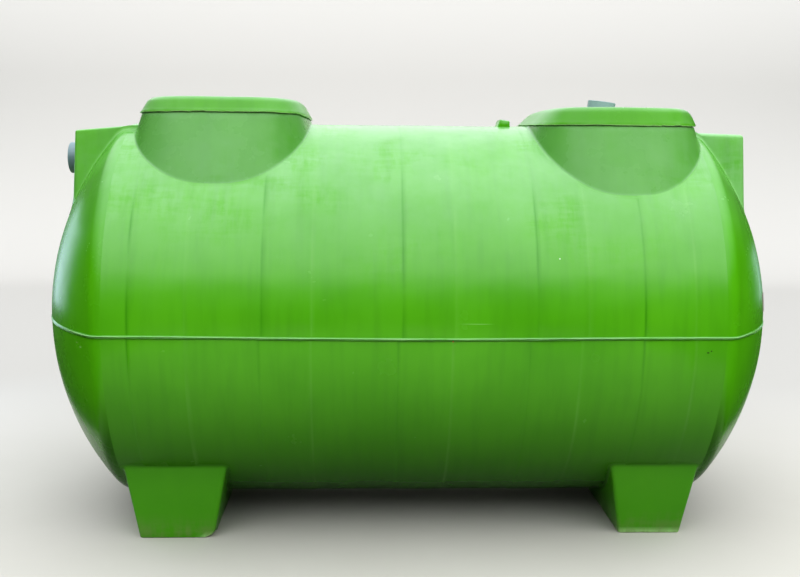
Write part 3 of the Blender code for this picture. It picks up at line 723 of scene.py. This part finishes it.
def lid_piece(end, size, droop, slant, bulge):
    """A lid. Droop lowers its lip and bulge rounds its side at the +x end, and slant leans the -x end in."""
    mesh = bmesh.new()
    shares = []
    rings = []
    lid_x = manway_x[end]
    rim_z = axis_height + tank_radius + size["rim_up"] + 0.0003
    half_x, half_y = size["half_x"] + lid_overhang, size["half_y"] + lid_overhang

    def add_ring(inset, height, lip=0.0, share=0.0, scale=1.0):
        ring = []
        for angle in oval_angles(2 * oval_steps):
            x, y = oval_point((half_x - inset) * scale, (half_y - inset) * scale, rim_power, angle)
            at = Vector((x, y, 0.0))
            uneven = lip * (0.0020 + 0.0026 * noise.noise(at * 7 + Vector((0, 0, lid_x * 9))))
            uneven += lip * (0.0015 * round(1.6 * noise.noise(at * 16)) + 0.0016 * noise.noise(at * 60))
            flare = lip * (0.0010 + 0.0016 * noise.noise(at * 26))
            corner_drop = droop * lip * smooth_step(0.86, 1.0, cos(angle))
            x, y = x * (1 + flare / half_x), y * (1 + flare / half_y)
            x += slant * smooth_step(0.55, 1.0, -cos(angle)) * height / lid_height
            x += bulge * smooth_step(0.70, 1.0, cos(angle)) * sin(pi * height / lid_height)
            wave = 0.0012 * noise.noise(at * 5 + Vector((lid_x, 0, 2))) * min(height / lid_height, 1.0)
            levelled = y * tan(size["roll"]) * height / lid_height
            z = height + max(uneven, 0.0) - corner_drop + wave - levelled
            point = rolled(Vector((lid_x + x + corner_drop * 0.4, y, rim_z + z)), size["roll"])
            ring.append(mesh.verts.new(point))
            shares.append(share)
        rings.append(ring)

    add_ring(0.040, lid_height - 0.0065)
    add_ring(0.020, lid_height - lid_shoulder)
    add_ring(0.019, 0.0)
    add_ring(0.008, 0.0)
    for number, (inset, height) in enumerate(lid_sections()):
        share = (0.8, 0.5, 0.0)[min(number, 2)]
        add_ring(inset, height, lip=max(0.0, 1 - height / lip_fade), share=share)
    for scale in (0.9, 0.72, 0.5, 0.25):
        add_ring(inset, lid_height, scale=scale)
    join_rings(mesh, rings, capped=True)
    lid = add_object(end + "_manway_lid", mesh, lid_gelcoat)
    mark(lid, "raw_edge_and_highlight", shares)
    finish_piece(lid, end + "_lid")


lid_piece("inlet", manways["inlet"], droop=0.009, slant=0.0, bulge=0.0)
lid_piece("outlet", manways["outlet"], droop=0.0, slant=0.020, bulge=0.007)


# Pipe boxes. A raised block on the shoulder of each end gives the drain pipe a flat face to leave through. It
# is moulded with the end, so its edges are rounded and the fillet at its foot has the dish's gelcoat.
pipe_boxes = {
    "inlet": {"side": -1, "end_x": 1.144, "top_up": 0.629, "top_rise": 0.022, "round": 0.006, "dust_and_sheen_base": 0.09},
    "outlet": {"side": 1, "end_x": 1.151, "top_up": 0.634, "top_rise": 0.006, "round": 0.012, "dust_and_sheen_base": 0.22},
}
box_half_y = 0.200
box_draft = 0.057
box_corner = 0.009
box_under_neck = 0.02
box_rows = 6
outline_spacing = 0.02


def rounded_outline(x_low, x_high, half_y, corner, corner_steps=5):
    """A rectangle with rounded corners as (x, y, outward normal), once round."""
    points = []
    for cx, cy, start in ((x_high - corner, half_y - corner, 0), (x_low + corner, half_y - corner, 90),
                          (x_low + corner, -half_y + corner, 180), (x_high - corner, -half_y + corner, 270)):
        for step in range(corner_steps + 1):
            angle = radians(start + 90 * step / corner_steps)
            points.append((cx + corner * cos(angle), cy + corner * sin(angle),
                           Vector((cos(angle), sin(angle), 0.0))))
    filled = []
    for (x, y, normal), (next_x, next_y, _) in zip(points, points[1:] + points[:1]):
        filled.append((x, y, normal))
        pieces = int(hypot(next_x - x, next_y - y) / outline_spacing)
        for piece in range(1, pieces):
            share = piece / pieces
            filled.append((x + (next_x - x) * share, y + (next_y - y) * share, normal))
    return filled


def pipe_box(end, size):
    mesh = bmesh.new()
    side, box_end_x, box_round = size["side"], size["end_x"], size["round"]
    inner_x = abs(manway_x[end]) + manways[end]["half_x"] - box_under_neck
    top_z = axis_height + size["top_up"]
    columns = []
    for x, y, normal in rounded_outline(inner_x, box_end_x, box_half_y, box_corner):
        def wall(depth, x=x, y=y, normal=normal):
            spread = box_draft * (depth - box_round)
            rise = size["top_rise"] * (box_end_x - x) / (box_end_x - inner_x)
            return Vector((side * (x + normal.x * spread), y + normal.y * spread, top_z + rise - depth))
        outward = Vector((side * normal.x, normal.y, 0.0))
        shoulder = []
        for step in range(5):
            angle = pi / 2 * (1 - step / 5)
            point = wall(box_round * (1 - sin(angle)))
            shoulder.append(point - outward * (box_round * (1 - cos(angle))))
        if above_body(wall(box_round)) > 0.002:
            width = 0.018 + 0.022 * max(normal.x, 0.0)
            points, corner = wall_points(wall, box_round, 0.35, width, outward, rows=box_rows,
                                         sink=0.003, rise=0.0008, run=1.12)
        else:
            points = [wall(box_round + 0.004 * step) for step in range(box_rows + fillet_steps + 2)]
            points = [onto_body(point, 0.003) for point in points]
            corner = points[-1]
        inner_low = onto_body(corner, buried) - outward * 0.006
        columns.append([mesh.verts.new(point) for point in shoulder + points + [inner_low]])
    rings = [list(row) for row in zip(*columns)]
    join_rings(mesh, rings[:fillet_ring + 1])
    join_rings(mesh, rings[fillet_ring:], slot=1)
    mesh.faces.new(rings[0])
    mesh.faces.new(rings[-1])
    # The box is given lighter tones than the dish it is moulded with, and a film whose base, higher on the
    # outlet box, paints a pale sheen on its faces.
    box_gelcoat = sprayed_gelcoat("gelcoat_on_" + end + "_box", 6.0, roughness=0.30, gloss=0.25,
                                  dust_and_sheen_base=size["dust_and_sheen_base"], tones=("#57A818", "#61B224"))
    box = add_object(end + "_pipe_box", mesh, box_gelcoat, dish_gelcoat)
    finish_piece(box, end + "_box")


for end, size in pipe_boxes.items():
    pipe_box(end, size)


# Pipes. The two drains are 110 mm sewer pipe and the vent is a 98 mm stub, all extruded grey-blue uPVC, sawn
# square. Extruded pipe has a satin skin with a fine grain. The vent is bleached by the sun.
pipe_wall = 0.0032
drain_radius, vent_radius, hole_lap = 0.055, 0.049, 0.001
drain_z = axis_height + 0.536
drain_start, drain_end = 0.990, {"inlet": 1.212, "outlet": 1.196}
hole_start, hole_end = 0.970, 1.250
hoop_steps = 72
extruded_upvc, tree, shader, place = start_material("extruded_upvc")
grime = add_node(tree, "TexNoise", {"Scale": 14.0, "Detail": 5.0, "Roughness": 0.6, "Vector": place})
pipe_colour = add_node(tree, "Mix", {0: grime, 6: linear("#64797F"), 7: linear("#83989D")})
pipe_up = add_node(tree, "SeparateXYZ", {0: place}).outputs["Z"]
in_sun = add_node(tree, "MapRange", {"From Min": 1.34, "From Max": 1.40, "To Max": 0.5, "Value": pipe_up})
bleached = add_node(tree, "Mix", {0: in_sun, 6: pipe_colour, 7: linear("#BACDD0")})
satin = add_node(tree, "MapRange", {"To Min": 0.32, "To Max": 0.52, "Value": grime})
pimples = add_node(tree, "TexNoise", {"Scale": 260.0, "Detail": 2.0, "Vector": place})
grain = add_node(tree, "Bump", {"Strength": 0.10, "Distance": 0.0005, "Height": pimples})
set_up(shader, {"Base Color": bleached, "Roughness": satin, "Normal": grain, "IOR": 1.54})


def hoop(mesh, middle, turn, radius, along=0.0):
    """A ring of points round a pipe's axis."""
    ring = []
    for step in range(hoop_steps):
        angle = 2 * pi * step / hoop_steps
        spoke = Vector((radius * cos(angle), radius * sin(angle), along))
        ring.append(mesh.verts.new(middle + turn @ spoke))
    return ring


def pipe(name, start, finish, radius, node):
    mesh = bmesh.new()
    start, finish = Vector(start), Vector(finish)
    turn = (finish - start).to_track_quat("Z", "Y").to_matrix()
    length = (finish - start).length
    bore = radius - pipe_wall
    section = ((bore, 0.0), (radius, 0.0), (radius, length * 0.5), (radius, length - 0.0008),
               (radius - 0.0007, length), (bore + 0.0005, length), (bore, length - 0.0006),
               (bore, length * 0.5))
    rings = [hoop(mesh, start, turn, size, along) for size, along in section]
    join_rings(mesh, rings, closed_rows=True)
    finish_piece(add_object(name, mesh, extruded_upvc), node, slot="grey_upvc")


def drill(names, start, finish, radius):
    """Cuts a round hole through the pieces that a pipe passes."""
    mesh = bmesh.new()
    start, finish = Vector(start), Vector(finish)
    turn = (finish - start).to_track_quat("Z", "Y").to_matrix()
    join_rings(mesh, [hoop(mesh, middle, turn, radius) for middle in (start, finish)], capped=True)
    cutter = add_object("drill", mesh)
    for name in names:
        thing = bpy.data.objects[name]
        hole = thing.modifiers.new("hole", "BOOLEAN")
        hole.operation, hole.solver, hole.object = "DIFFERENCE", "EXACT", cutter
        depsgraph = bpy.context.evaluated_depsgraph_get()
        data = bpy.data.meshes.new_from_object(thing.evaluated_get(depsgraph), preserve_all_data_layers=True,
                                               depsgraph=depsgraph)
        thing.modifiers.clear()
        thing.data = data
        data.set_sharp_from_angle(angle=sharp_from)
    bpy.data.objects.remove(cutter)


for end, side in ends:
    drill([end + "_pipe_box", end + "_end_upper_shell"], (side * hole_start, 0.0, drain_z),
          (side * hole_end, 0.0, drain_z), drain_radius - hole_lap)
for end, side in ends:
    pipe(end + "_drain_pipe", (side * drain_start, 0.0, drain_z), (side * drain_end[end], 0.0, drain_z),
         drain_radius, end + "_pipe")
vent_lean = radians(7)
vent_axis = Vector((sin(vent_lean), 0.0, cos(vent_lean)))
vent_foot = Vector((0.688, 0.0, axis_height + tank_radius + 0.0033 + lid_height))


def up_vent(distance):
    """A point on the vent's axis, which leans outwards and rolls with its manway."""
    return rolled(vent_foot + vent_axis * distance, manways["outlet"]["roll"])


drill(["outlet_manway_lid"], up_vent(-0.080), up_vent(0.050), vent_radius - hole_lap)
pipe("lid_vent_pipe", up_vent(-0.030), up_vent(0.036), vent_radius, "vent_pipe")


# Lifting lug. A small block of laminate stands on the crown beside the outlet manway, upright on one side and
# sloped on the other, with resin run out round its foot.
lug_mesh = bmesh.new()
crown = axis_height + tank_radius
lug_rows = []
lug_edges = ((-0.045, 0.004), (-0.042, 0.001), (-0.036, 0.0), (0.036, 0.0), (0.042, 0.001), (0.045, 0.004))
for y, shrink in lug_edges:
    outline = ((0.306 + shrink, -0.004), (0.313 + shrink, 0.002), (0.3205 + shrink, 0.0215 - shrink),
               (0.3225 + shrink, 0.0240 - shrink), (0.3260, 0.0243 - shrink),
               (0.3540 - shrink, 0.0198 - shrink), (0.3568 - shrink, 0.0180 - shrink),
               (0.3572 - shrink, 0.003), (0.3610 - shrink, -0.004))
    lug_rows.append([lug_mesh.verts.new((x, y, crown + up)) for x, up in outline])
join_rings(lug_mesh, lug_rows, capped=True)
lug = add_object("crown_lifting_lug", lug_mesh, shell_gelcoat)
finish_piece(lug, "lifting_lug")


# Plate. A small blank plate of bare aluminium, dulled by weather, is bonded to the outlet end just above the
# joint. It follows the dish and is seen almost edge on.
weathered_aluminium, tree, shader, place = start_material("weathered_aluminium")
oxide = add_node(tree, "TexNoise", {"Scale": 60.0, "Detail": 4.0, "Vector": place})
plate_colour = add_node(tree, "Mix", {0: oxide, 6: linear("#8A8478"), 7: linear("#A69F92")})
set_up(shader, {"Base Color": plate_colour, "Metallic": 0.3, "Roughness": 0.5})
plate_mesh = bmesh.new()
plate_low_y, plate_high_y, plate_low_z, plate_high_z, plate_thick = -0.395, -0.325, 0.752, 0.812, 0.002
plate_sunk, plate_bevel, plate_steps = 0.001, 0.001, 6
plate_layers = []
for lift, inset in ((-plate_sunk, 0.0), (plate_thick - plate_sunk, 0.0), (plate_thick, plate_bevel)):
    low_y, high_y = plate_low_y + inset, plate_high_y - inset
    low_z, high_z = plate_low_z + inset, plate_high_z - inset
    corners = ((low_y, low_z), (high_y, low_z), (high_y, high_z), (low_y, high_z))
    ring = []
    for (y, z), (next_y, next_z) in zip(corners, corners[1:] + corners[:1]):
        for step in range(plate_steps):
            edge_y = y + (next_y - y) * step / plate_steps
            edge_z = z + (next_z - z) * step / plate_steps
            out = sqrt((dish_radius + lift) ** 2 - edge_y**2 - (edge_z - axis_height) ** 2)
            ring.append(plate_mesh.verts.new((barrel_half + dish_centre + out, edge_y, edge_z)))
    plate_layers.append(ring)
join_rings(plate_mesh, plate_layers, capped=True)
plate = add_object("outlet_end_plate", plate_mesh, weathered_aluminium)
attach(plate, "root")


# Saddles. Two hollow moulded feet, full width and tapered, are laminated to the belly. Their upright edges
# are rounded, and the soles are scraped and chipped where the tank was dragged over the floor.
saddles = {
    "inlet": {"x": -0.779, "top_x": 0.169, "foot_x": 0.122, "top_y": 0.472, "foot_y": 0.458},
    "outlet": {"x": 0.8055, "top_x": 0.148, "foot_x": 0.104, "top_y": 0.474, "foot_y": 0.432},
}
saddle_corner, saddle_fillet, saddle_rows = 0.010, 0.012, 12
saddle_front, chipped_below = -0.40, 0.03
saddle_gelcoat = sprayed_gelcoat("gelcoat_on_saddles", 14.0, roughness=0.30, gloss=0.25,
                                 tones=("#3F8507", "#478E0D"), dirt_below=0.09)


def saddle(end, size):
    mesh = bmesh.new()
    shares = []
    reach = axis_height - sqrt(tank_radius**2 - size["top_y"] ** 2)
    columns = []
    for x, y, normal in rounded_outline(-size["foot_x"], size["foot_x"], size["foot_y"], saddle_corner):
        def wall(height, x=x, y=y):
            grow_x = 1 + (size["top_x"] / size["foot_x"] - 1) * height / reach
            grow_y = 1 + (size["top_y"] / size["foot_y"] - 1) * height / reach
            return Vector((size["x"] + x * grow_x, y * grow_y, height))
        points, corner = wall_points(wall, 0.004, 0.45, saddle_fillet, normal, rows=saddle_rows)
        sole = [wall(0.0) - normal * 0.003, wall(0.0012) - normal * 0.0008]
        inside = [onto_body(corner, buried) - normal * tank_wall, wall(0.008) - normal * tank_wall]
        columns.append(sole + points + inside)
    rings = []
    for row in zip(*columns):
        ring = []
        for point in row:
            chip = 0.0
            if point.z < chipped_below:
                chip = smooth_step(0.20, 0.55, noise.noise(point * 19 + Vector((size["x"], 0, 0))))
                chip *= smooth_step(0.022, 0.0, point.z)
            moved = Vector((0.0, 0.0, 0.0015 * chip))
            # The inlet saddle's front corner is broken off, and the outlet saddle's front edge is scraped.
            if point.y < saddle_front and point.z < chipped_below and end == "inlet":
                from_corner = size["x"] + size["foot_x"] - point.x
                broken = smooth_step(0.030, 0.002, from_corner) * smooth_step(0.020, 0.0, point.z)
                moved += Vector((-0.007 * broken, 0.0, 0.007 * broken))
                scuff = smooth_step(0.06, 0.02, from_corner) * smooth_step(0.010, 0.002, point.z)
                chip = max(chip, 0.8 * scuff)
            if point.y < saddle_front and point.z < 0.005 and end == "outlet":
                chip = 0.65
            shares.append(chip)
            ring.append(mesh.verts.new(point + moved))
        rings.append(ring)
    join_rings(mesh, rings, capped=True)
    thing = add_object(end + "_saddle_foot", mesh, saddle_gelcoat)
    mark(thing, "raw_edge_and_highlight", shares)
    finish_piece(thing, end + "_saddle")


for end, size in saddles.items():
    saddle(end, size)
